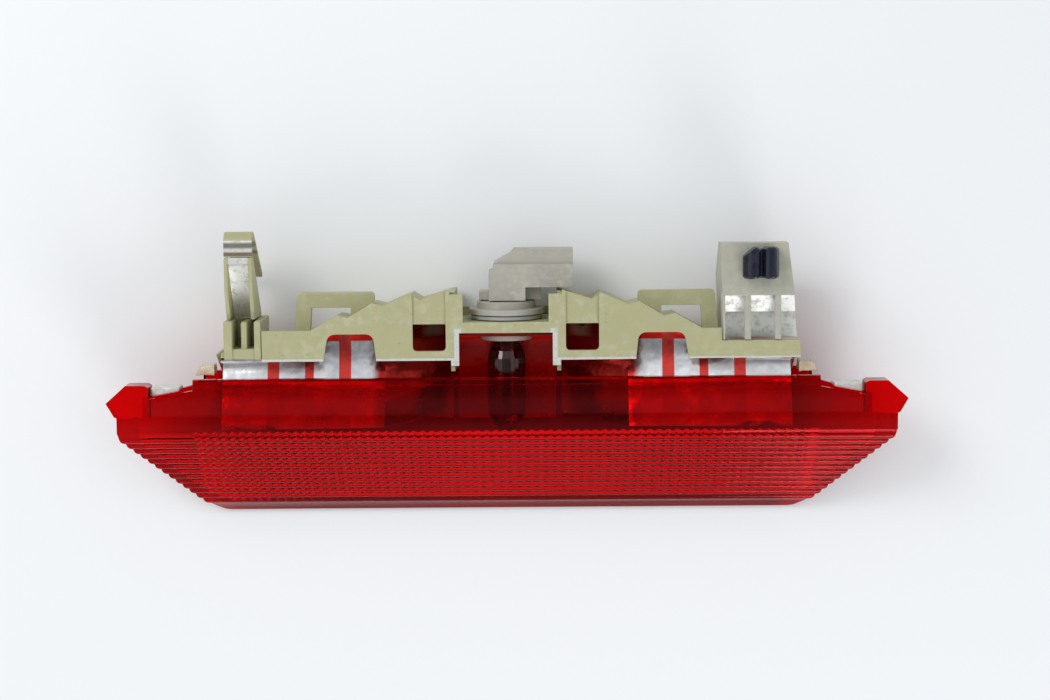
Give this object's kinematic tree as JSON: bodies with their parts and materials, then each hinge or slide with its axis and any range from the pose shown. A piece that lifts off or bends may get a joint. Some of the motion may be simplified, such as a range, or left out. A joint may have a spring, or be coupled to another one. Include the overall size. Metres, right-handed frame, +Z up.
{
  "type": "third brake light",
  "caption": "Long red fluted lens on a clip-on housing with stepped mirror reflectors and a twist-in bulb holder.",
  "frame": {"origin": "centre of the bounding box in plan, on the level of the lens's underside, which the lamp rests on", "axes": "-Y is the way the light leaves, +Z is up with the housing's top plate, +X runs along the lens towards the block with the rubber buffer"},
  "size_m": [0.3, 0.1102, 0.0412],
  "materials": {
    "red_lens": "gloss",
    "olive_plastic": "satin",
    "mirror_coat": "polished",
    "holder_plastic": "satin",
    "black_rubber": "satin",
    "grey_foam": "matte",
    "cream_weld": "satin",
    "bulb_glass": "gloss",
    "bulb_cap": "satin",
    "tin_metal": "satin"
  },
  "bodies": {
    "housing": {"lens": "red_lens", "housing_top": "olive_plastic", "housing_shell": "olive_plastic", "reflector_left": "mirror_coat", "reflector_right": "mirror_coat", "reflector_centre": "mirror_coat", "end_cheek_left": "olive_plastic", "end_cheek_right": "olive_plastic", "weld_lug_left": "cream_weld", "weld_lug_right": "cream_weld", "foam_pad_left": "grey_foam", "foam_pad_right": "grey_foam", "locating_loop_left": "olive_plastic", "locating_loop_right": "olive_plastic", "clip_bracket": "olive_plastic", "clip_arm": "olive_plastic", "mounting_block": "olive_plastic", "rubber_buffer": "black_rubber"},
    "holder": {"bulb_holder": "holder_plastic", "holder_seal": "black_rubber", "connector_shroud": "holder_plastic", "terminal_1": "tin_metal", "terminal_2": "tin_metal", "contact_clip_1": "tin_metal", "contact_clip_2": "tin_metal"},
    "bulb": {"bulb_glass": "bulb_glass", "bulb_base": "bulb_cap", "bulb_lead_1": "tin_metal", "bulb_lead_2": "tin_metal", "filament": "tin_metal"},
    "clip": {"clip_leaf": "olive_plastic"}
  },
  "joints": [
    {"name": "bulb_holder_twist", "type": "hinge", "parent": "housing", "child": "holder", "pos_m": [0, 0.02385, 0.018], "axis": [0, -1, 0], "range_deg": [0, 45]},
    {"name": "bulb_pull", "type": "slide", "parent": "holder", "child": "bulb", "axis": [0, -1, 0], "range_m": [0, 0.009]},
    {"name": "clip_leaf_flex", "type": "hinge", "parent": "housing", "child": "clip", "pos_m": [-0.0993, 0.04585, 0.032], "axis": [1, 0, 0], "range_deg": [-8, 4], "stiffness_Nm_per_rad": 1.5}
  ]
}
